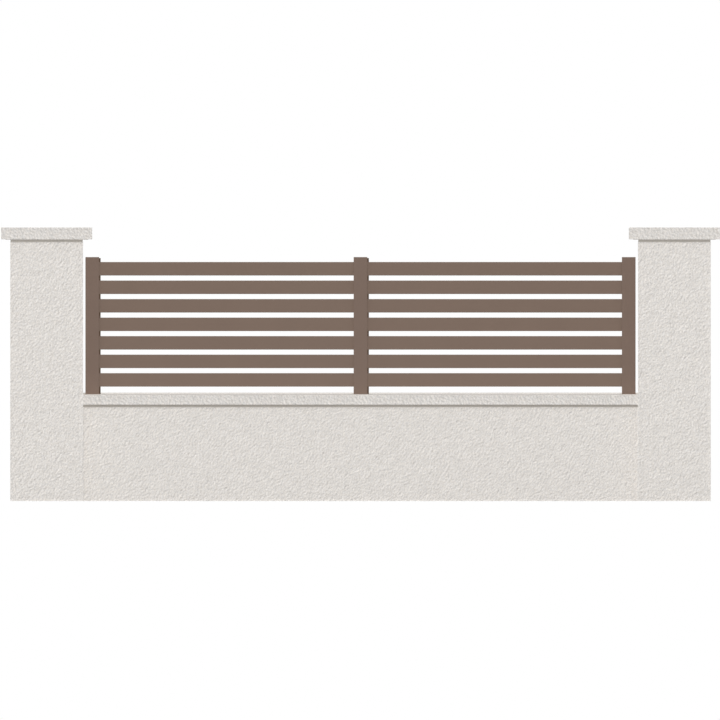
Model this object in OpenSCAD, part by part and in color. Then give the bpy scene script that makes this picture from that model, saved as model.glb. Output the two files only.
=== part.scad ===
// Slatted fence on a low rendered wall, between two rendered pillars.
// Two bays of hollow aluminium slats sit in grooved posts that are grouted into the wall.
// Sizes in millimetres. Z is up, X runs along the fence and the front faces -Y.
// The origin is on the ground, in the middle of the fence.

/* [Pillars] */
// Width and depth of a pillar
pillar_w = 400; // [300:10:500]
// How far a pillar rises above the tops of the posts, to the bed under its cap
pillar_rise = 83; // [20:1:400]
// Clear opening between the two pillars
opening_w = 3040; // [2400:20:4000]
// How far a pillar's cap stands out past the pillar on each side
cap_overhang = 50; // [35:1:90]
// Thickness of a pillar's cap
cap_t = 68; // [40:1:120]

/* [Low wall] */
// Thickness of the wall, with its render
wall_d = 230; // [200:5:300]
// Height of the wall, from the ground to the bed under its coping
wall_h = 515; // [300:5:600]
// How far the coping stands out past the wall at the front and the back
coping_overhang = 35; // [30:1:80]
// Thickness of the coping at its back edge
coping_t = 68; // [50:1:120]
// Fall of the coping's top from its back edge to its front edge
coping_fall = 15; // [0:1:25]

/* [Masonry details] */
// Rounding of the render at upright corners
render_round = 5; // [1:1:15]
// Easing of the edges of caps and coping
stone_ease = 4; // [1:1:8]
// Thickness of the mortar beds under caps and coping
bed_t = 12; // [6:1:20]
// How far a mortar bed is raked back behind the face below it
bed_rake = 2; // [0:1:10]
// Width of the drip grooves under caps and coping
drip_w = 8; // [4:1:10]
// Depth of the drip grooves
drip_depth = 5; // [3:1:8]
// Distance from an outer edge to its drip groove
drip_edge = 15; // [12:1:20]

/* [Posts] */
// Width of a post, along the fence
post_w = 75; // [60:1:100]
// Depth of a post, across the fence
post_d = 75; // [70:1:100]
// Wall thickness of a post's section
post_wall = 2.2; // [1.5:0.1:3]
// Rounding of a post's corners
post_round = 2; // [1:0.5:4]
// Depth of the grooves that hold the slat ends
groove_depth = 20; // [12:1:24]
// Gap between an end post and its pillar
post_gap = 12.5; // [4:0.5:40]
// How deep a post is set below the back edge of the coping
post_set = 200; // [120:5:260]
// Width of grout round a post's foot
grout_w = 10; // [5:1:25]
// Thickness of a post's top plate
top_plate_t = 3; // [2:0.5:6]
// Easing of the top plate's upper edges
top_plate_ease = 1; // [0.5:0.25:1.5]
// Depth of the plug under the top plate
plug_depth = 12; // [6:1:25]
// Clearance of the plug in the post
plug_fit = 0.3; // [0.1:0.1:0.6]

/* [Slats] */
// Number of slats in a bay
slat_count = 7; // [3:1:9]
// Height of a slat
slat_h = 74; // [50:1:90]
// Depth of a slat, across the fence
slat_d = 50; // [35:1:55]
// Wall thickness of a slat's section
slat_wall = 1.6; // [1.2:0.1:2.5]
// Rounding of a slat's corners
slat_round = 2; // [1:0.5:4]
// Gap between two slats
slat_gap = 27.5; // [10:0.5:60]
// Gap between the coping's back edge and the bottom slat
bottom_gap = 32; // [10:1:80]
// Height of a post's top above the top slat
top_reveal = 27; // [12:1:80]
// Gap left at each slat end for expansion, in the groove
end_gap = 2; // [1:0.5:5]
// Clearance of a slat in its groove, at the front and at the back
slat_fit = 0.5; // [0.3:0.1:1]

/* [Spacers] */
// Wall thickness of a spacer's section
spacer_wall = 2; // [1.5:0.1:3]
// Rounding of a spacer's corners
spacer_round = 1; // [0.5:0.5:2]
// How far the wide spacers stand out of the groove at the left end of each bay
spacer_proud = 8.5; // [0:0.5:15]
// Distance from a post's top down to its top spacer
spacer_drop = 5.5; // [4:0.5:10]

/* [Hidden] */
$fn = 48;

// Masonry outlines, and levels of the coping
cap_w = pillar_w + 2 * cap_overhang;
pillar_x = (opening_w + pillar_w) / 2;
coping_d = wall_d + 2 * coping_overhang;
coping_base = wall_h + bed_t;
coping_top = coping_base + coping_t;

// Posts, from left to right
post_x = [for (side = [-1 : 1]) side * (opening_w / 2 - post_gap - post_w / 2)];
last_post = len(post_x) - 1;
groove_w = slat_d + 2 * slat_fit;
lip_t = (post_d - groove_w) / 2;
post_foot = coping_top - post_set;

// Slats and spacers
slat_pitch = slat_h + slat_gap;
slat_reach = groove_depth - end_gap;
slat_base = coping_top + bottom_gap;
stack_top = slat_base + (slat_count - 1) * slat_pitch + slat_h;
post_top = stack_top + top_reveal;
pillar_h = post_top + pillar_rise;

// Cutters run this far past the faces that they cut
over = 1;

SIDES = ["left", "right"];
POSTS = ["left", "middle", "right"];

// Height of the coping's top above its base, at a distance y from its middle
function weathered(y) = coping_t - coping_fall * (0.5 - y / coping_d);

// A post has a groove on every side that faces a bay
function has_groove(post, side) = side < 0 ? post > 0 : post < last_post;

// Distance from a post's middle to the inside of its web on one side
function web_reach(post, side) =
    post_w / 2 - post_wall - (has_groove(post, side) ? groove_depth : 0);

// Distance from a post's middle to the edge of its pocket on one side.
// The pocket of an end post runs out to the pillar.
function pocket_reach(post, side) =
    has_groove(post, side) ? post_w / 2 + grout_w : post_w / 2 + post_gap;

// Rectangle with flat corners, centred
module eased_rect(w, h, ease) {
    x = w / 2;
    y = h / 2;
    polygon([
        [ease - x, -y], [x - ease, -y], [x, ease - y], [x, y - ease],
        [x - ease, y], [ease - x, y], [-x, y - ease], [-x, ease - y]
    ]);
}

// Rectangle with round corners, centred
module rounded_rect(w, h, r) {
    square([w - 2 * r, h], center = true);
    square([w, h - 2 * r], center = true);
    for (x = [-1, 1], y = [-1, 1])
        translate([x * (w / 2 - r), y * (h / 2 - r)]) circle(r);
}

// Draws a section, given as depth and height, along the fence from x = 0
module along_fence(length) {
    rotate([90, 0, 90]) linear_extrude(length) children();
}

// Block on z = 0 with all its edges eased
module eased_block(w, d, h, ease) {
    intersection() {
        linear_extrude(h) eased_rect(w, d, ease);
        translate([-w / 2, 0, h / 2]) along_fence(w) eased_rect(d, h, ease);
        translate([0, d / 2, h / 2]) rotate([90, 0, 0]) linear_extrude(d) eased_rect(w, h, ease);
    }
}

// Pillar, built up in masonry and rendered
module pillar(side) {
    color("#dbd7d2")
    translate([side * pillar_x, 0, 0])
    linear_extrude(pillar_h) rounded_rect(pillar_w, pillar_w, render_round);
}

// Mortar bed between a pillar and its cap
module cap_bed(side) {
    bed_w = pillar_w - 2 * bed_rake;
    color("#a09b95")
    translate([side * pillar_x, 0, pillar_h])
    linear_extrude(bed_t) rounded_rect(bed_w, bed_w, render_round);
}

// Flat square cap with a drip groove all round under its overhang
module pillar_cap(side) {
    drip_out = cap_w - 2 * drip_edge;
    drip_in = drip_out - 2 * drip_w;
    color("#d8d4cf")
    translate([side * pillar_x, 0, pillar_h + bed_t])
    difference() {
        eased_block(cap_w, cap_w, cap_t, stone_ease);
        translate([0, 0, -over])
        linear_extrude(drip_depth + over)
        difference() {
            square(drip_out, center = true);
            square(drip_in, center = true);
        }
    }
}

// Plan of the pocket that a post is grouted into.
// past lets a cutter run out through the wall's end beside a pillar.
module pocket_plan(post, past = 0) {
    left = pocket_reach(post, -1) + (has_groove(post, -1) ? 0 : past);
    right = pocket_reach(post, 1) + (has_groove(post, 1) ? 0 : past);
    depth = post_d + 2 * grout_w;
    translate([post_x[post] - left, -depth / 2]) square([left + right, depth]);
}

// Pockets for all posts, from the posts' feet up
module pockets() {
    translate([0, 0, post_foot])
    for (post = [0 : last_post])
        linear_extrude(post_set + over) pocket_plan(post, over);
}

// Low wall between the pillars
module low_wall() {
    color("#dbd7d2")
    difference() {
        translate([-opening_w / 2, -wall_d / 2, 0]) cube([opening_w, wall_d, wall_h]);
        pockets();
    }
}

// Mortar bed between the wall and its coping
module coping_bed() {
    bed_d = wall_d - 2 * bed_rake;
    color("#a09b95")
    difference() {
        translate([-opening_w / 2, -bed_d / 2, wall_h]) cube([opening_w, bed_d, bed_t]);
        pockets();
    }
}

// Section of the coping: a top that falls to the front, eased edges and two drip grooves
module coping_section() {
    edge = coping_d / 2;
    ease = stone_ease;
    difference() {
        polygon([
            [ease - edge, 0], [edge - ease, 0], [edge, ease],
            [edge, weathered(edge) - ease], [edge - ease, weathered(edge - ease)],
            [ease - edge, weathered(ease - edge)], [-edge, weathered(-edge) - ease],
            [-edge, ease]
        ]);
        for (side = [-1, 1])
            translate([side * (edge - drip_edge - drip_w / 2), 0])
            square([drip_w, 2 * drip_depth], center = true);
    }
}

// Coping on the low wall
module coping() {
    color("#d8d4cf")
    difference() {
        translate([-opening_w / 2, 0, coping_base]) along_fence(opening_w) coping_section();
        pockets();
    }
}

// All the space above the plane of the coping's top
module above_coping() {
    edge = coping_d / 2;
    sky = post_top - coping_base;
    translate([-opening_w / 2 - over, 0, coping_base])
    along_fence(opening_w + 2 * over)
    polygon([[-edge, weathered(-edge)], [edge, weathered(edge)], [edge, sky], [-edge, sky]]);
}

// Outline of a post, with its grooves
module post_outline(post) {
    difference() {
        rounded_rect(post_w, post_d, post_round);
        for (side = [-1, 1])
            if (has_groove(post, side))
                translate([side * (post_w / 2 + over - (groove_depth + over) / 2), 0])
                square([groove_depth + over, groove_w], center = true);
    }
}

// Plan of the chamber inside a post's web, made smaller all round by a clearance
module web_chamber(post, clearance = 0) {
    left = web_reach(post, -1) - clearance;
    right = web_reach(post, 1) - clearance;
    depth = groove_w - 2 * clearance;
    translate([-left, -depth / 2]) square([left + right, depth]);
}

// Section of a post: two hollow lips joined by a hollow web
module post_section(post) {
    difference() {
        post_outline(post);
        web_chamber(post);
        for (side = [-1, 1])
            translate([0, side * (post_d - lip_t) / 2])
            square([post_w - 2 * post_wall, lip_t - 2 * post_wall], center = true);
    }
}

// Grooved aluminium post, standing on the floor of its pocket
module post(post) {
    color("#7d6b60")
    translate([post_x[post], 0, post_foot])
    linear_extrude(post_top - top_plate_t - post_foot) post_section(post);
}

// Grout that fills the pocket round a post, and its grooves, up to the coping's top
module post_grout(post) {
    color("#b0aba4")
    difference() {
        translate([0, 0, post_foot]) linear_extrude(post_set) pocket_plan(post);
        translate([post_x[post], 0, post_foot - over])
        linear_extrude(post_set + 2 * over) post_outline(post);
        above_coping();
    }
}

// Top plate of a post, with a plug that fits inside its web
module post_top(post) {
    color("#78665b")
    translate([post_x[post], 0, post_top - top_plate_t]) {
        intersection() {
            linear_extrude(top_plate_t) rounded_rect(post_w, post_d, post_round);
            translate([0, 0, -top_plate_t])
            eased_block(post_w, post_d, 2 * top_plate_t, top_plate_ease);
        }
        translate([0, 0, -plug_depth])
        linear_extrude(plug_depth)
        difference() {
            web_chamber(post, plug_fit);
            web_chamber(post, plug_fit + post_wall);
        }
    }
}

// Height of the underside of a slat, counted from 0 at the bottom
function slat_z(i) = slat_base + i * slat_pitch;

// Left and right faces of the opening between two posts
function bay_left(bay) = post_x[bay] + post_w / 2;
function bay_right(bay) = post_x[bay + 1] - post_w / 2;

// Section of a slat: a hollow box with a rib at half height
module slat_section() {
    chamber_d = slat_d - 2 * slat_wall;
    chamber_h = (slat_h - 3 * slat_wall) / 2;
    difference() {
        rounded_rect(slat_d, slat_h, slat_round);
        for (side = [-1, 1])
            translate([0, side * (chamber_h + slat_wall) / 2])
            square([chamber_d, chamber_h], center = true);
    }
}

// Slat of one bay, with both ends in the posts' grooves
module slat(bay, i) {
    color("#7f6d62")
    translate([bay_left(bay) - slat_reach, 0, slat_z(i) + slat_h / 2])
    along_fence(bay_right(bay) - bay_left(bay) + 2 * slat_reach) slat_section();
}

// Section of a spacer: a short hollow box, as deep as a slat
module spacer_section(w) {
    difference() {
        rounded_rect(w, slat_d, spacer_round);
        square([w - 2 * spacer_wall, slat_d - 2 * spacer_wall], center = true);
    }
}

// The spacers in one groove: on the coping, between the slats and on the top slat.
// end is 0 for the left end of the bay, where they stand out of the groove, and 1 for the right.
module spacers(bay, end) {
    width = slat_reach + (end == 0 ? spacer_proud : 0);
    middle = end == 0
        ? bay_left(bay) + spacer_proud - width / 2
        : bay_right(bay) + width / 2;
    first_h = slat_base - coping_base;
    color("#5f5045")
    translate([middle, 0, 0]) {
        intersection() {
            translate([0, 0, coping_base]) linear_extrude(first_h) spacer_section(width);
            translate([-middle, 0, 0]) above_coping();
        }
        for (i = [1 : slat_count - 1])
            translate([0, 0, slat_z(i) - slat_gap])
            linear_extrude(slat_gap) spacer_section(width);
        translate([0, 0, stack_top])
        linear_extrude(top_reveal - spacer_drop) spacer_section(width);
    }
}

low_wall();
coping_bed();
coping();
for (s = [0, 1]) {
    side = 2 * s - 1;
    pillar(side);
    cap_bed(side);
    pillar_cap(side);
}
for (p = [0 : last_post]) {
    post(p);
    post_grout(p);
    post_top(p);
}
for (bay = [0, 1]) {
    for (end = [0, 1])
        spacers(bay, end);
    for (i = [0 : slat_count - 1])
        slat(bay, i);
}
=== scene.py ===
import math

import bmesh
import bpy
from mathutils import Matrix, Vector


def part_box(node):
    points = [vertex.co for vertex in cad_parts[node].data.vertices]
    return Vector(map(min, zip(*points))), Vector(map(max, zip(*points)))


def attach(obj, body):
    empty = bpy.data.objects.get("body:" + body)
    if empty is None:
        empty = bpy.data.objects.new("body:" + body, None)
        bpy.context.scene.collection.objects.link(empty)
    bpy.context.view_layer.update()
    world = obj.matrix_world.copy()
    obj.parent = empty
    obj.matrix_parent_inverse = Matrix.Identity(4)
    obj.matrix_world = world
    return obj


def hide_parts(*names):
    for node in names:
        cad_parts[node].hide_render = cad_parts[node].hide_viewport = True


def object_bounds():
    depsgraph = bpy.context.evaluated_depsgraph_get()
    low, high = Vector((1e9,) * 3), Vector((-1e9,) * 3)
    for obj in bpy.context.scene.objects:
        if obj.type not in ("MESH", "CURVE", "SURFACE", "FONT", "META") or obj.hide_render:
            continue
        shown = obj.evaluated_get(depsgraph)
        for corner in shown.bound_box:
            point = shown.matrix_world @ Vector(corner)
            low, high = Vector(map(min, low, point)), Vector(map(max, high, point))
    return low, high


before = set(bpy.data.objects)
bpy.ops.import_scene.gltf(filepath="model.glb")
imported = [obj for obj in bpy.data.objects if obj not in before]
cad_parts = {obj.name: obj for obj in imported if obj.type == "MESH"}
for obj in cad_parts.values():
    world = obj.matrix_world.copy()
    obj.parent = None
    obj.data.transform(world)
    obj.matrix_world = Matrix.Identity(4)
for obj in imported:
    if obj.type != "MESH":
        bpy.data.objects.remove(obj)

# Slatted fence on a low rendered wall, between two rendered pillars.
# Metres, Z up, the front looks to -Y and the ground is at z = 0.
cadLow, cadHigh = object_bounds()
print("frame loaded with", len(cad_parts), "nodes")

tiny = 1e-5              # two places closer than this are the same
straight = 0.999         # an edge runs along an axis if this much of its length does
nearly = 0.9             # the same for edges and faces that may slope a little
mostCells = 100          # more cells than this along an edge take two subdivides
white = (1, 1, 1, 1)


def paint(red, green, blue):
    # a colour as a paint chart gives it, 0 to 255, made linear
    def linear(part):
        part /= 255
        return part / 12.92 if part < 0.04 else ((part + 0.055) / 1.055) ** 2.4
    return (linear(red), linear(green), linear(blue), 1)


def selectOnly(piece):
    bpy.ops.object.select_all(action="DESELECT")
    piece.select_set(True)
    bpy.context.view_layer.objects.active = piece


def applyAll(piece):
    selectOnly(piece)
    for modifier in list(piece.modifiers):
        bpy.ops.object.modifier_apply(modifier=modifier.name)


def addBlock(name, low, high):
    bpy.ops.object.select_all(action="DESELECT")
    bpy.ops.mesh.primitive_cube_add(size=1, location=(low + high) / 2)
    block = bpy.context.object
    block.name = name
    block.data.name = name
    block.scale = high - low
    bpy.ops.object.transform_apply(location=True, rotation=True, scale=True)
    return block


def pick(piece, kind, rule):
    # in edit mode: selects the edges or faces that fit the rule, and nothing else
    bpy.ops.mesh.select_mode(type=kind)
    bpy.ops.mesh.select_all(action="DESELECT")
    mesh = bmesh.from_edit_mesh(piece.data)
    for part in mesh.edges if kind == "EDGE" else mesh.faces:
        if rule(part):
            part.select_set(True)
    mesh.select_flush_mode()
    bmesh.update_edit_mesh(piece.data)


def runsAlong(edge, axis):
    step = edge.verts[1].co - edge.verts[0].co
    return abs(step[axis]) > straight * step.length


def middle(edge):
    return (edge.verts[0].co + edge.verts[1].co) / 2


def isLevel(face):
    return abs(face.normal.z) > nearly


def looksDown(face):
    return face.normal.z < -nearly


def gap(point, low, high, axis):
    # how far inside a box a point lies, along one axis
    return min(point[axis] - low[axis], high[axis] - point[axis])


def cutAlong(piece, axis, count, rule=lambda edge: True):
    # cuts the edges along an axis into that many cells. More than mostCells are made in two equal
    # goes, so such a count is a square number.
    goes = [count] if count <= mostCells else [round(math.sqrt(count))] * 2
    for cells in goes:
        if cells == 1:
            continue
        pick(piece, "EDGE", lambda edge: runsAlong(edge, axis) and rule(edge))
        bpy.ops.mesh.subdivide(number_cuts=cells - 1)


reliefLook = {
    "bumpSize": 0.026,     # size of the lumps, in the units of a clouds texture
    "bumpDepth": 0.0030,
    "swellSize": 0.30,     # slow unevenness of the coat
    "swellDepth": 0.0004,
    "fade": 0.014,         # the relief dies away over this width towards an arris
    "arrisShare": 0.12,    # what is left of it on the arris
    "contrast": 1.5,
    "top": 1.25,           # the highest value of the texture at this contrast
    "shift": (1.7, 5.3),   # moves the pattern on from side to side, so that no two are the same
}


def layStrokes(piece, coat):
    # a map in metres on the side each face looks to, turned so that U follows the strokes
    layer = piece.data.uv_layers.get("strokes") or piece.data.uv_layers.new(name="strokes")
    layer.active = True
    layer.active_render = True
    points = [vertex.co for vertex in piece.data.vertices]
    turn = math.radians(coat["lean"])
    cos, sin = math.cos(turn), math.sin(turn)
    sideShift, faceShift = reliefLook["shift"]
    for face in piece.data.polygons:
        n = face.normal
        side = max(range(3), key=lambda axis: abs(n[axis]))
        sign = 1 if n[side] > 0 else -1
        for loop in face.loop_indices:
            x, y, z = points[piece.data.loops[loop].vertex_index]
            across, up = ((sign * y, z), (-sign * x, z), (x, sign * y))[side]
            across += sideShift * side + faceShift * sign
            along = across * cos + up * sin
            aside = up * cos - across * sin
            layer.data[loop].uv = (along / coat["stretch"], aside / coat["wide"])


def roughen(piece, coat, arrisGap):
    # arrisGap gives how far a point lies from the nearest arris, or None where the piece stays
    # flat. The relief only goes inwards, so nothing leaves the solid that it stands for.
    group = piece.vertex_groups.new(name="relief")
    for vertex in piece.data.vertices:
        distance = arrisGap(vertex.co)
        if distance is not None:
            share = min(1, max(0, distance) / reliefLook["fade"])
            weight = reliefLook["arrisShare"] + (1 - reliefLook["arrisShare"]) * share
            group.add([vertex.index], weight, "REPLACE")
    for name in ("bump", "swell"):
        texture = bpy.data.textures.new(piece.name + "_" + name, "CLOUDS")
        texture.noise_basis = "IMPROVED_PERLIN"
        texture.noise_scale = reliefLook[name + "Size"]
        texture.noise_depth = 0
        texture.contrast = reliefLook["contrast"]
        relief = piece.modifiers.new(texture.name, "DISPLACE")
        relief.texture = texture
        relief.texture_coords = "UV"
        relief.uv_layer = "strokes"
        relief.mid_level = reliefLook["top"]
        relief.strength = reliefLook[name + "Depth"] * coat["relief"]
        relief.vertex_group = "relief"
    applyAll(piece)


def finishPiece(piece, coat, material, node):
    selectOnly(piece)
    bpy.ops.object.shade_smooth_by_angle(angle=math.radians(coat["smooth"]))
    piece.data.materials.clear()
    piece.data.materials.append(material)
    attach(piece, "root")
    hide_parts(node)
    print(piece.name, "made with", len(piece.data.polygons), "faces")


def newMaterial(name, colour, rough, specular):
    material = bpy.data.materials.new(name)
    material.use_nodes = True
    tree = material.node_tree
    shader = tree.nodes["Principled BSDF"]
    shader.inputs["Base Color"].default_value = colour
    shader.inputs["Roughness"].default_value = rough
    shader.inputs["Specular IOR Level"].default_value = specular
    return material, tree, shader


def addNode(tree, kind, **values):
    # values with a name of an input go to that input, the rest are the node's own settings
    made = tree.nodes.new("ShaderNode" + kind)
    for name, value in values.items():
        words = name.replace("_", " ")
        if words in made.inputs:
            made.inputs[words].default_value = value
        else:
            setattr(made, name, value)
    return made


def join(tree, start, end):
    tree.links.new(start, end)


def feed(tree, value, socket):
    # a plain value is set on the socket, anything else is linked to it
    if isinstance(value, (int, float, tuple)):
        socket.default_value = value
    else:
        join(tree, value, socket)


def noise(tree, place, scale, detail=2.0, rough=0.5):
    made = addNode(tree, "TexNoise", Scale=scale, Detail=detail, Roughness=rough)
    join(tree, place, made.inputs["Vector"])
    return made.outputs["Fac"]


def calc(tree, operation, first, second=0):
    made = addNode(tree, "Math", operation=operation)
    feed(tree, first, made.inputs[0])
    feed(tree, second, made.inputs[1])
    return made.outputs[0]


def spread(tree, value, low, high, toLow=0.0, toHigh=1.0):
    made = addNode(tree, "MapRange", From_Min=low, From_Max=high, To_Min=toLow, To_Max=toHigh)
    join(tree, value, made.inputs["Value"])
    return made.outputs["Result"]


noiseRange = (0.3, 0.7)  # a noise seldom leaves it


def vary(tree, value, share):
    # a factor round 1 that follows a noise
    return spread(tree, value, *noiseRange, 1 - share, 1 + share)


def blend(tree, share, first, second):
    made = addNode(tree, "Mix", data_type="RGBA")
    feed(tree, share, made.inputs[0])
    # 6 and 7 are the two colours
    feed(tree, first, made.inputs[6])
    feed(tree, second, made.inputs[7])
    return made.outputs[2]


def shaded(tree, colour, shade):
    made = addNode(tree, "VectorMath", operation="SCALE")
    feed(tree, colour, made.inputs[0])
    join(tree, shade, made.inputs["Scale"])
    return made.outputs[0]


def bump(tree, height, distance, over=None):
    made = addNode(tree, "Bump", Strength=1.0, Distance=distance)
    join(tree, height, made.inputs["Height"])
    if over:
        join(tree, over, made.inputs["Normal"])
    return made.outputs["Normal"]


renderLook = {
    "colour": paint(219, 215, 211),
    "cream": paint(223, 216, 206),   # flecks in the coat
    "grey": paint(216, 214, 212),
    "lean": 58.5,        # slant of the trowel strokes, in degrees
    "stretch": 1.2,      # how much longer the lumps are along the strokes
    "wide": 1,           # and across them
    "relief": 1,         # depth of the modelled lumps
    "fine": 1.2,         # depth of the fine lumps and pits
    "paintedSlopeShade": 1.62,      # how strongly light and shade are painted on their slopes: upper slopes paler, lower darker
    "smooth": 60,        # faces that meet at less than these degrees are shaded as one
}

stoneLook = {
    "colour": paint(214, 210, 206),
    "cream": paint(218, 211, 202),
    "grey": paint(211, 210, 208),
    "lean": -63,
    "stretch": 1.15,
    "wide": 1.15,
    "relief": 0.6,
    "fine": 0.75,
    # stronger painted light and shade on the slopes than on the render
    "paintedSlopeShade": 2.7,
    "smooth": 40,
}

plasterLook = {
    # what the render and the cast stone have in common, sizes and depths in metres
    "rough": 0.92,
    "specular": 0.2,
    "lump": 0.0105,      # fine lumps between the modelled ones
    "lumpDepth": 0.0018,
    "paintedSlopeShade": 0.14,      # upper slopes of the lumps are painted paler as light, lower ones darker as shade
    "paintedSlopeReach": 0.003,
    "pitSpacing": 0.085,  # here and there a small hole between the lumps
    "pitReach": (0.03, 0.09),
    "pitDepth": 0.0014,
    "grain": 0.0040,     # sand in the coat
    "grainDepth": 0.0006,
    "grainShade": 0.15,
    "drift": 0.04,       # size of the slow changes in tone
    "driftShade": 0.035,
    "cornerShadeReach": 0.075,  # painted shade in the corners where the wall meets the pillars, against the light the pillars throw there
    "cornerShadeStrength": 0.045,
    "fleck": 0.014,      # size of the cream and the grey flecks
    "fleckRange": (0.35, 0.65),
    "fleckShare": 0.36,
}


def plasterMaterial(name, coat, corner=None):
    # corner says how far from the middle of the fence the corners with the painted shade are
    look = plasterLook
    material, tree, shader = newMaterial(name, coat["colour"], look["rough"], look["specular"])
    flow = addNode(tree, "UVMap", uv_map="strokes").outputs["UV"]
    place = addNode(tree, "TexCoord").outputs["Object"]
    lump = noise(tree, flow, 1 / look["lump"], detail=0.0)
    grain = noise(tree, place, 1 / look["grain"], detail=1.0, rough=0.6)
    fleck = noise(tree, place, 1 / look["fleck"], rough=0.6)
    drift = noise(tree, place, 1 / look["drift"], detail=1.0)
    tint = blend(tree, spread(tree, fleck, *look["fleckRange"]), coat["cream"], coat["grey"])
    body = blend(tree, look["fleckShare"], coat["colour"], tint)
    # the same lumps a little higher and a little lower on the wall: their difference is the slope,
    # painted as light on the upper slopes and as shade on the lower ones
    slopes = []
    for step in (-look["paintedSlopeReach"], look["paintedSlopeReach"]):
        moved = addNode(tree, "VectorMath", operation="ADD")
        join(tree, flow, moved.inputs[0])
        moved.inputs[1].default_value = (0, step, 0)
        slopes.append(noise(tree, moved.outputs[0], 1 / look["lump"], detail=0.0))
    slope = calc(tree, "SUBTRACT", *slopes)
    shade = calc(tree, "ADD", calc(tree, "MULTIPLY", slope, look["paintedSlopeShade"] * coat["paintedSlopeShade"]), 1.0)
    shade = calc(tree, "MULTIPLY", shade, vary(tree, grain, look["grainShade"]))
    shade = calc(tree, "MULTIPLY", shade, vary(tree, drift, look["driftShade"]))
    # painted shade: the wall grows darker towards the pillars
    if corner:
        parts = addNode(tree, "SeparateXYZ")
        join(tree, place, parts.inputs[0])
        fromMiddle = calc(tree, "ABSOLUTE", parts.outputs["X"])
        cornerShade = spread(tree, fromMiddle, corner - look["cornerShadeReach"], corner, 1.0, 1 - look["cornerShadeStrength"])
        shade = calc(tree, "MULTIPLY", shade, cornerShade)
    join(tree, shaded(tree, body, shade), shader.inputs["Base Color"])
    holes = addNode(tree, "TexVoronoi", voronoi_dimensions="2D", Scale=1 / look["pitSpacing"])
    join(tree, flow, holes.inputs["Vector"])
    pits = spread(tree, holes.outputs["Distance"], *look["pitReach"])
    relief = bump(tree, lump, look["lumpDepth"] * coat["fine"])
    relief = bump(tree, pits, look["pitDepth"] * coat["fine"], relief)
    join(tree, bump(tree, grain, look["grainDepth"], relief), shader.inputs["Normal"])
    return material


mortarLook = {
    "lean": 45,
    "stretch": 1,
    "wide": 1,
    "relief": 0.1,
    "smooth": 60,
    "rough": 0.95,
    "specular": 0.2,
    "sand": 450.0,       # grains to a metre
    "sandShade": 0.08,
    "sandDepth": 0.001,
    "lumps": 90.0,       # lumps to a metre
    "lumpShade": 0.04,
    "lumpDepth": 0.002,
}


def mortarMaterial(name, colour):
    look = mortarLook
    material, tree, shader = newMaterial(name, colour, look["rough"], look["specular"])
    place = addNode(tree, "TexCoord").outputs["Object"]
    sand = noise(tree, place, look["sand"], detail=3.0, rough=0.7)
    lumps = noise(tree, place, look["lumps"])
    shade = vary(tree, sand, look["sandShade"])
    shade = calc(tree, "MULTIPLY", shade, vary(tree, lumps, look["lumpShade"]))
    join(tree, shaded(tree, colour[:3], shade), shader.inputs["Base Color"])
    relief = bump(tree, lumps, look["lumpDepth"])
    join(tree, bump(tree, sand, look["sandDepth"], relief), shader.inputs["Normal"])
    return material


powderLook = {
    "rough": (0.6, 0.76),  # from the hollows to the tops of the grain
    "specular": 0.2,
    "grain": 1400.0,     # grains to a metre
    "grainShade": 0.05,
    "grainDepth": 0.00025,
    "drift": 6.0,        # slow changes in tone to a metre
    "driftShade": 0.015,
}


def powderCoatMaterial(name, colour):
    # fine-textured powder coat: a matt skin with a grain of less than a millimetre
    look = powderLook
    material, tree, shader = newMaterial(name, colour, sum(look["rough"]) / 2, look["specular"])
    place = addNode(tree, "TexCoord").outputs["Object"]
    grain = noise(tree, place, look["grain"], rough=0.6)
    drift = noise(tree, place, look["drift"])
    shade = vary(tree, grain, look["grainShade"])
    shade = calc(tree, "MULTIPLY", shade, vary(tree, drift, look["driftShade"]))
    join(tree, shaded(tree, colour[:3], shade), shader.inputs["Base Color"])
    join(tree, spread(tree, grain, *noiseRange, *look["rough"]), shader.inputs["Roughness"])
    join(tree, bump(tree, grain, look["grainDepth"]), shader.inputs["Normal"])
    return material


mouldedLook = {
    "rough": 0.6,
    "specular": 0.25,
    "grain": 900.0,      # grains to a metre
    "grainShade": 0.06,
    "grainDepth": 0.0003,
}


def mouldedMaterial(name, colour):
    look = mouldedLook
    material, tree, shader = newMaterial(name, colour, look["rough"], look["specular"])
    place = addNode(tree, "TexCoord").outputs["Object"]
    grain = noise(tree, place, look["grain"])
    shade = vary(tree, grain, look["grainShade"])
    join(tree, shaded(tree, colour[:3], shade), shader.inputs["Base Color"])
    join(tree, bump(tree, grain, look["grainDepth"]), shader.inputs["Normal"])
    return material


wallLow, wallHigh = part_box("low_wall")
renderCoat = plasterMaterial("scraped render", renderLook)
# the wall's coat is darker in its corners at the pillars: painted shade
wallCoat = plasterMaterial("scraped render of the wall", renderLook, wallHigh.x)
castStone = plasterMaterial("textured cast stone", stoneLook)
mortar = mortarMaterial("raked mortar", paint(164, 159, 152))
grout = mortarMaterial("pale grout", paint(198, 193, 186))
powderCoat = powderCoatMaterial("taupe powder coat", paint(120, 103, 92))
# the posts get the slats' taupe coat a little darker, as painted shade: standing proud, they catch
# more light
postCoatWithPaintedShade = powderCoatMaterial("taupe powder coat of the posts", paint(118, 101, 91))
# the spacers are moulded plastic; their dark colour is painted shade, for the shaded strip beside the
# posts
moulded = mouldedMaterial("moulded plastic, dark as painted shade", paint(83, 66, 54))
print("materials made")


pillarShape = {
    "arris": 0.0025,     # rounding of the upright corners
    "arrisSteps": 2,
    "columns": 78,       # cells across one side
    "rows": 289,         # cells up the pillar, a square number
}


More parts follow.
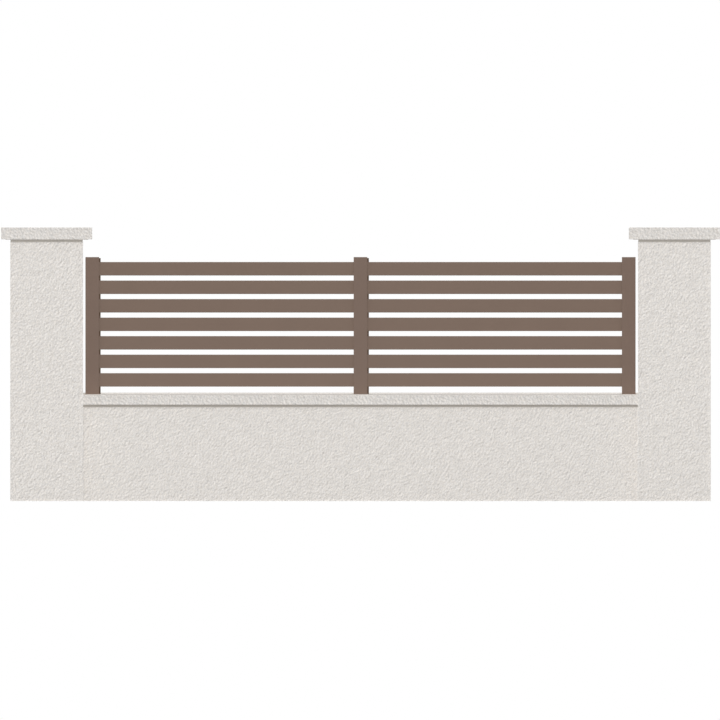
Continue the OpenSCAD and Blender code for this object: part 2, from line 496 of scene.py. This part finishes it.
def makePillar(side):
    shape = pillarShape
    node = side + "_pillar"
    low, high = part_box(node)
    pillar = addBlock(node + "_render", low, high)
    bpy.ops.object.mode_set(mode="EDIT")
    pick(pillar, "EDGE", lambda edge: runsAlong(edge, 2))
    bpy.ops.mesh.bevel(offset=shape["arris"], segments=shape["arrisSteps"], affect="EDGES")
    cutAlong(pillar, 2, shape["rows"])
    # the edges across a whole side, and not those of the rounding
    half = (high.x - low.x) / 2
    for axis in (0, 1):
        cutAlong(pillar, axis, shape["columns"], lambda edge: edge.calc_length() > half)
    # the top and the bottom are one flat face each again
    pick(pillar, "FACE", isLevel)
    bpy.ops.mesh.dissolve_faces()
    bpy.ops.object.mode_set(mode="OBJECT")
    layStrokes(pillar, renderLook)

    def arrisGap(point):
        if gap(point, low, high, 2) > tiny:
            return max(gap(point, low, high, 0), gap(point, low, high, 1))
    roughen(pillar, renderLook, arrisGap)
    finishPiece(pillar, renderLook, renderCoat, node)


pocketShape = {
    "past": 0.01,        # a cutter runs this far out past the piece
}


def pocketCutter(postGrout, low, high):
    # a block round the grout at a post's foot, run out past the piece that it cuts
    past = pocketShape["past"]
    start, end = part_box(postGrout)
    if start.z < low.z:
        start.z = low.z - past
    end.z = high.z + past
    if start.x < low.x + past:
        start.x = low.x - past
    if end.x > high.x - past:
        end.x = high.x + past
    return addBlock("cutter", start, end)


def cutPockets(piece):
    corners = [Vector(corner) for corner in piece.bound_box]
    low = Vector(min(corner[axis] for corner in corners) for axis in range(3))
    high = Vector(max(corner[axis] for corner in corners) for axis in range(3))
    for post in ("left", "middle", "right"):
        cutter = pocketCutter(post + "_post_grout", low, high)
        cut = piece.modifiers.new("pocket", "BOOLEAN")
        cut.operation = "DIFFERENCE"
        cut.solver = "EXACT"
        cut.object = cutter
        applyAll(piece)
        bpy.data.objects.remove(cutter)


wallShape = {
    "columns": 529,      # cells along the wall, a square number
    "rows": 89,
}


def makeWall():
    wall = addBlock("low_wall_render", wallLow, wallHigh)
    bpy.ops.object.mode_set(mode="EDIT")
    cutAlong(wall, 0, wallShape["columns"])
    cutAlong(wall, 2, wallShape["rows"])
    bpy.ops.object.mode_set(mode="OBJECT")
    layStrokes(wall, renderLook)

    def arrisGap(point):
        # the front and the back have the whole relief, up to where other pieces meet them
        if min(gap(point, wallLow, wallHigh, axis) for axis in (0, 2)) > tiny:
            return reliefLook["fade"]
    roughen(wall, renderLook, arrisGap)
    cutPockets(wall)
    finishPiece(wall, renderLook, wallCoat, "low_wall")


copingShape = {
    "thickness": 0.068,  # at the back edge
    "fall": 0.015,       # the top is this much lower at the front
    "ease": 0.003,       # rounding of the four long edges
    "easeSteps": 2,
    "dripEdge": 0.015,   # from the outer edge to the groove
    "dripWidth": 0.008,
    "dripDepth": 0.005,
    "columns": 576,      # cells along the coping, a square number
    "cell": 0.0052,      # size of a cell across the top and up the sides
}


def runsFlat(edge):
    # across the coping, on a slope or level
    step = edge.verts[1].co - edge.verts[0].co
    return abs(step.x) < tiny and abs(step.y) > nearly * step.length


def makeCoping():
    shape = copingShape
    low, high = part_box("coping")
    high.z = low.z + shape["thickness"]
    outer = high.y - shape["dripEdge"]
    inner = outer - shape["dripWidth"]

    def isFrontTop(edge):
        return runsAlong(edge, 0) and middle(edge).z > high.z - tiny and middle(edge).y < 0

    def isDrip(face):
        return looksDown(face) and inner < abs(face.calc_center_median().y) < outer

    coping = addBlock("coping_stone", low, high)
    bpy.ops.object.mode_set(mode="EDIT")
    # let the top down at the front
    pick(coping, "EDGE", isFrontTop)
    bpy.ops.transform.translate(value=(0, 0, -shape["fall"]))
    # two drip grooves under the overhangs
    for y in (-outer, -inner, inner, outer):
        bpy.ops.mesh.select_all(action="SELECT")
        bpy.ops.mesh.bisect(plane_co=(0, y, 0), plane_no=(0, 1, 0))
    pick(coping, "FACE", isDrip)
    bpy.ops.mesh.extrude_region_move(TRANSFORM_OT_translate={"value": (0, 0, shape["dripDepth"])})
    # ease the four long edges
    pick(coping, "EDGE", lambda edge: runsAlong(edge, 0) and gap(middle(edge), low, high, 1) < tiny)
    bpy.ops.mesh.bevel(offset=shape["ease"], segments=shape["easeSteps"], affect="EDGES")

    # a grid on the top, the front and the back. The bisects left strips on the top, and each
    # gets cells of about one size.
    cutAlong(coping, 0, shape["columns"])
    halfUp = low.z + shape["thickness"] / 2
    for near, far in ((0, inner), (inner, outer), (outer, high.y)):
        def inStrip(edge):
            return runsFlat(edge) and near <= abs(middle(edge).y) < far
        edges = bmesh.from_edit_mesh(coping.data).edges
        widest = max(edge.calc_length() for edge in edges if inStrip(edge))
        cells = max(1, round(widest / shape["cell"]))
        if cells > 1:
            pick(coping, "EDGE", lambda edge: inStrip(edge) and middle(edge).z > halfUp)
            bpy.ops.mesh.subdivide(number_cuts=cells - 1)
    for side, upright in ((-1, shape["thickness"] - shape["fall"]), (1, shape["thickness"])):
        rows = round(upright / shape["cell"])
        cutAlong(coping, 2, rows, lambda edge: side * middle(edge).y > high.y - tiny)
    bpy.ops.object.mode_set(mode="OBJECT")
    layStrokes(coping, stoneLook)

    def arrisGap(point):
        # the ends and the underside stay flat
        top = high.z - shape["fall"] * (high.y - point.y) / (high.y - low.y)
        if point.z > low.z + shape["dripDepth"] + tiny and gap(point, low, high, 0) > tiny:
            return max(gap(point, low, high, 1), min(point.z - low.z, top - point.z))
    roughen(coping, stoneLook, arrisGap)
    cutPockets(coping)
    finishPiece(coping, stoneLook, castStone, "coping")


capShape = {
    "ease": 0.003,       # rounding of the outer edges
    "easeSteps": 2,
    "dripEdge": 0.015,   # from the outer edge to the groove
    "dripWidth": 0.008,
    "dripDepth": 0.005,
    "rimLift": 0.0025,   # the rim outside the groove hangs this much less low
    "cells": 100,        # across the cap
    "rows": 13,          # up its side
}


def makeCap(side):
    shape = capShape
    node = side + "_pillar_cap"
    low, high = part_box(node)
    centre = (low + high) / 2
    rim = low + Vector((0, 0, shape["rimLift"]))
    ring = (high.x - low.x) / 2 - shape["dripEdge"] - shape["dripWidth"] / 2

    def pastRing(face):
        # how far out from the middle of the groove a face lies
        away = face.calc_center_median() - centre
        return max(abs(away.x), abs(away.y)) - ring

    def isDrip(face):
        return looksDown(face) and abs(pastRing(face)) < shape["dripWidth"] / 4

    def isRim(face):
        return looksDown(face) and pastRing(face) > 0 and face.calc_center_median().z < low.z + tiny

    def insideDrip(face):
        return looksDown(face) and pastRing(face) < -shape["dripWidth"] / 2

    def arrisReach(point, base):
        # an arris is where the second smallest gap is gone
        return sorted(gap(point, base, high, axis) for axis in range(3))[1]

    cap = addBlock(node + "_stone", low, high)
    bpy.ops.object.mode_set(mode="EDIT")
    # a drip groove all round under the overhang
    pick(cap, "FACE", looksDown)
    bpy.ops.mesh.inset(thickness=shape["dripEdge"])
    bpy.ops.mesh.inset(thickness=shape["dripWidth"])
    pick(cap, "FACE", isDrip)
    bpy.ops.mesh.extrude_region_move(TRANSFORM_OT_translate={"value": (0, 0, shape["dripDepth"])})
    pick(cap, "FACE", isRim)
    bpy.ops.transform.translate(value=(0, 0, shape["rimLift"]))
    # ease the outer edges
    pick(cap, "EDGE", lambda edge: arrisReach(middle(edge), rim) < tiny)
    bpy.ops.mesh.bevel(offset=shape["ease"], segments=shape["easeSteps"], affect="EDGES")
    # a grid on the top and the sides, but not in the groove or on the eased edges
    for axis, cells in ((0, shape["cells"]), (1, shape["cells"]), (2, shape["rows"])):
        cutAlong(cap, axis, cells, lambda edge: edge.calc_length() > 2 * shape["dripDepth"])
    # the underside inside the groove is one flat face again
    pick(cap, "FACE", insideDrip)
    bpy.ops.mesh.dissolve_faces()
    bpy.ops.object.mode_set(mode="OBJECT")
    layStrokes(cap, stoneLook)

    def arrisGap(point):
        # the underside stays flat
        if point.z > low.z + shape["dripDepth"] + tiny:
            return arrisReach(point, low)
    roughen(cap, stoneLook, arrisGap)
    finishPiece(cap, stoneLook, castStone, node)


bedShape = {
    "coping": (400, 1),  # cells along and across
    "cap": (49, 49),
    "rows": 4,           # cells up the bed
}


def makeBed(node, columns, across):
    low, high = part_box(node)
    bed = addBlock(node + "_mortar", low, high)
    bpy.ops.object.mode_set(mode="EDIT")
    cutAlong(bed, 0, columns)
    cutAlong(bed, 1, across)
    cutAlong(bed, 2, bedShape["rows"])
    bpy.ops.object.mode_set(mode="OBJECT")
    layStrokes(bed, mortarLook)
    underCoping = node == "coping_bed"

    def arrisGap(point):
        # the top and the bottom stay flat, and so do the ends that meet the pillars
        onEnd = gap(point, low, high, 0) < tiny
        onSide = gap(point, low, high, 1) < tiny
        if gap(point, low, high, 2) < tiny or (underCoping and onEnd):
            return None
        if onSide or onEnd:
            return reliefLook["fade"]
    roughen(bed, mortarLook, arrisGap)
    if underCoping:
        cutPockets(bed)
    finishPiece(bed, mortarLook, mortar, node)


for side in ("left", "right"):
    makePillar(side)
    makeBed(side + "_cap_bed", *bedShape["cap"])
    makeCap(side)
makeWall()
makeBed("coping_bed", *bedShape["coping"])
makeCoping()

# posts, slats, grout and spacers keep their CAD solids
for name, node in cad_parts.items():
    if node.hide_render:
        continue
    finish = (
        grout if "grout" in name
        else moulded if "spacers" in name
        else postCoatWithPaintedShade if "post" in name
        else powderCoat
    )
    node.data.materials.clear()
    node.data.materials.append(finish)
print("posts, slats, grout and spacers finished")


studio = {
    "floorSize": (16.0, 12.0),
    "floorSeen": (0.85, 0.85, 0.85, 1),    # floor as the camera sees it, with shadows on it
    "floorThrows": (0.25, 0.25, 0.25, 1),  # floor as it lights the object
    "floorLift": 0.08,     # what the camera sees on top of the lit floor
    "skyLevel": 0.38,      # light from all round
    "lampAim": (0, 0, 0.75),
    "lampDistance": 150.0,  # far off, so that the whole length gets the same light
}

# Bearing runs from the front towards the right, and bearing and height are in degrees. At level
# 1 a face that looks at the lamp renders in its own colour. Size is in metres, and shines says
# whether the lamp shows in what is glossy. The two relief lamps only bring out the texture, so
# they cast no shadows.
lamps = {
    "front": dict(bearing=0, height=2, level=0.51, size=10.0, shadows=True, shines=False),
    "back": dict(bearing=180, height=2, level=0.45, size=10.0, shadows=True, shines=False),
    "frontRelief": dict(bearing=-50, height=50, level=0.42, size=15.0, shadows=False, shines=True),
    "backRelief": dict(bearing=130, height=42, level=0.30, size=15.0, shadows=False, shines=True),
    "left": dict(bearing=-90, height=1, level=0.17, size=6.0, shadows=True, shines=False),
    "right": dict(bearing=90, height=1, level=0.20, size=6.0, shadows=True, shines=False),
    "top": dict(bearing=-150, height=66, level=0.26, size=15.0, shadows=True, shines=True),
}


def seenPlainly(tree):
    # 1 where something is seen, straight, in gloss or through glass, and 0 where it gives light
    path = addNode(tree, "LightPath")
    seen = calc(tree, "MAXIMUM", path.outputs["Is Camera Ray"], path.outputs["Is Glossy Ray"])
    return calc(tree, "MAXIMUM", seen, path.outputs["Is Transmission Ray"])


def makeFloor():
    bpy.ops.object.select_all(action="DESELECT")
    bpy.ops.mesh.primitive_plane_add(size=1, location=(0, 0, 0))
    floor = bpy.context.object
    floor.name = "studio_floor"
    floor.scale = (*studio["floorSize"], 1)
    bpy.ops.object.transform_apply(location=True, rotation=True, scale=True)
    material = bpy.data.materials.new("pale floor")
    material.use_nodes = True
    tree = material.node_tree
    tree.nodes.remove(tree.nodes["Principled BSDF"])
    matt = addNode(tree, "BsdfDiffuse")
    glow = addNode(tree, "Emission", Color=white)
    seen = seenPlainly(tree)
    join(tree, blend(tree, seen, studio["floorThrows"], studio["floorSeen"]), matt.inputs["Color"])
    join(tree, calc(tree, "MULTIPLY", seen, studio["floorLift"]), glow.inputs["Strength"])
    both = addNode(tree, "AddShader")
    join(tree, matt.outputs[0], both.inputs[0])
    join(tree, glow.outputs[0], both.inputs[1])
    join(tree, both.outputs[0], tree.nodes["Material Output"].inputs["Surface"])
    floor.data.materials.append(material)


def makeSky():
    world = bpy.data.worlds.new("studio")
    bpy.context.scene.world = world
    world.use_nodes = True
    tree = world.node_tree
    soft = tree.nodes["Background"]
    soft.inputs["Color"].default_value = white
    soft.inputs["Strength"].default_value = studio["skyLevel"]
    backdrop = addNode(tree, "Background", Color=white, Strength=1.0)
    either = addNode(tree, "MixShader")
    join(tree, seenPlainly(tree), either.inputs[0])
    join(tree, soft.outputs[0], either.inputs[1])
    join(tree, backdrop.outputs[0], either.inputs[2])
    join(tree, either.outputs[0], tree.nodes["World Output"].inputs["Surface"])


def addLamp(name, bearing, height, level, size, shadows, shines):
    turn, rise = math.radians(bearing), math.radians(height)
    away = Vector((math.sin(turn) * math.cos(rise), -math.cos(turn) * math.cos(rise), math.sin(rise)))
    distance = studio["lampDistance"]
    light = bpy.data.lights.new(name + " lamp", "AREA")
    light.shape = "SQUARE"
    light.size = size
    light.energy = level * math.pi ** 2 * distance ** 2
    light.use_shadow = shadows
    lamp = bpy.data.objects.new(name + "_lamp", light)
    lamp.location = Vector(studio["lampAim"]) + away * distance
    lamp.rotation_euler = away.to_track_quat("Z", "Y").to_euler()
    lamp.visible_camera = False
    lamp.visible_glossy = shines
    bpy.context.scene.collection.objects.link(lamp)


cameraSetup = {
    "across": 3.9456,      # metres across the view
    "x": -0.0027,
    "height": 0.773,
    "distance": 20.0,      # in front of the fence
    "clip": (1.0, 60.0),
}


def makeCamera():
    # a straight elevation, as a catalogue shows a fence
    data = bpy.data.cameras.new("camera")
    data.type = "ORTHO"
    data.ortho_scale = cameraSetup["across"]
    data.clip_start, data.clip_end = cameraSetup["clip"]
    camera = bpy.data.objects.new("camera", data)
    camera.location = (cameraSetup["x"], cadLow.y - cameraSetup["distance"], cameraSetup["height"])
    camera.rotation_euler = (math.radians(90), 0, 0)
    bpy.context.scene.collection.objects.link(camera)
    bpy.context.scene.camera = camera


makeFloor()
makeSky()
for name, values in lamps.items():
    addLamp(name, **values)
makeCamera()
bpy.context.scene.view_settings.view_transform = "Standard"
print("studio made")
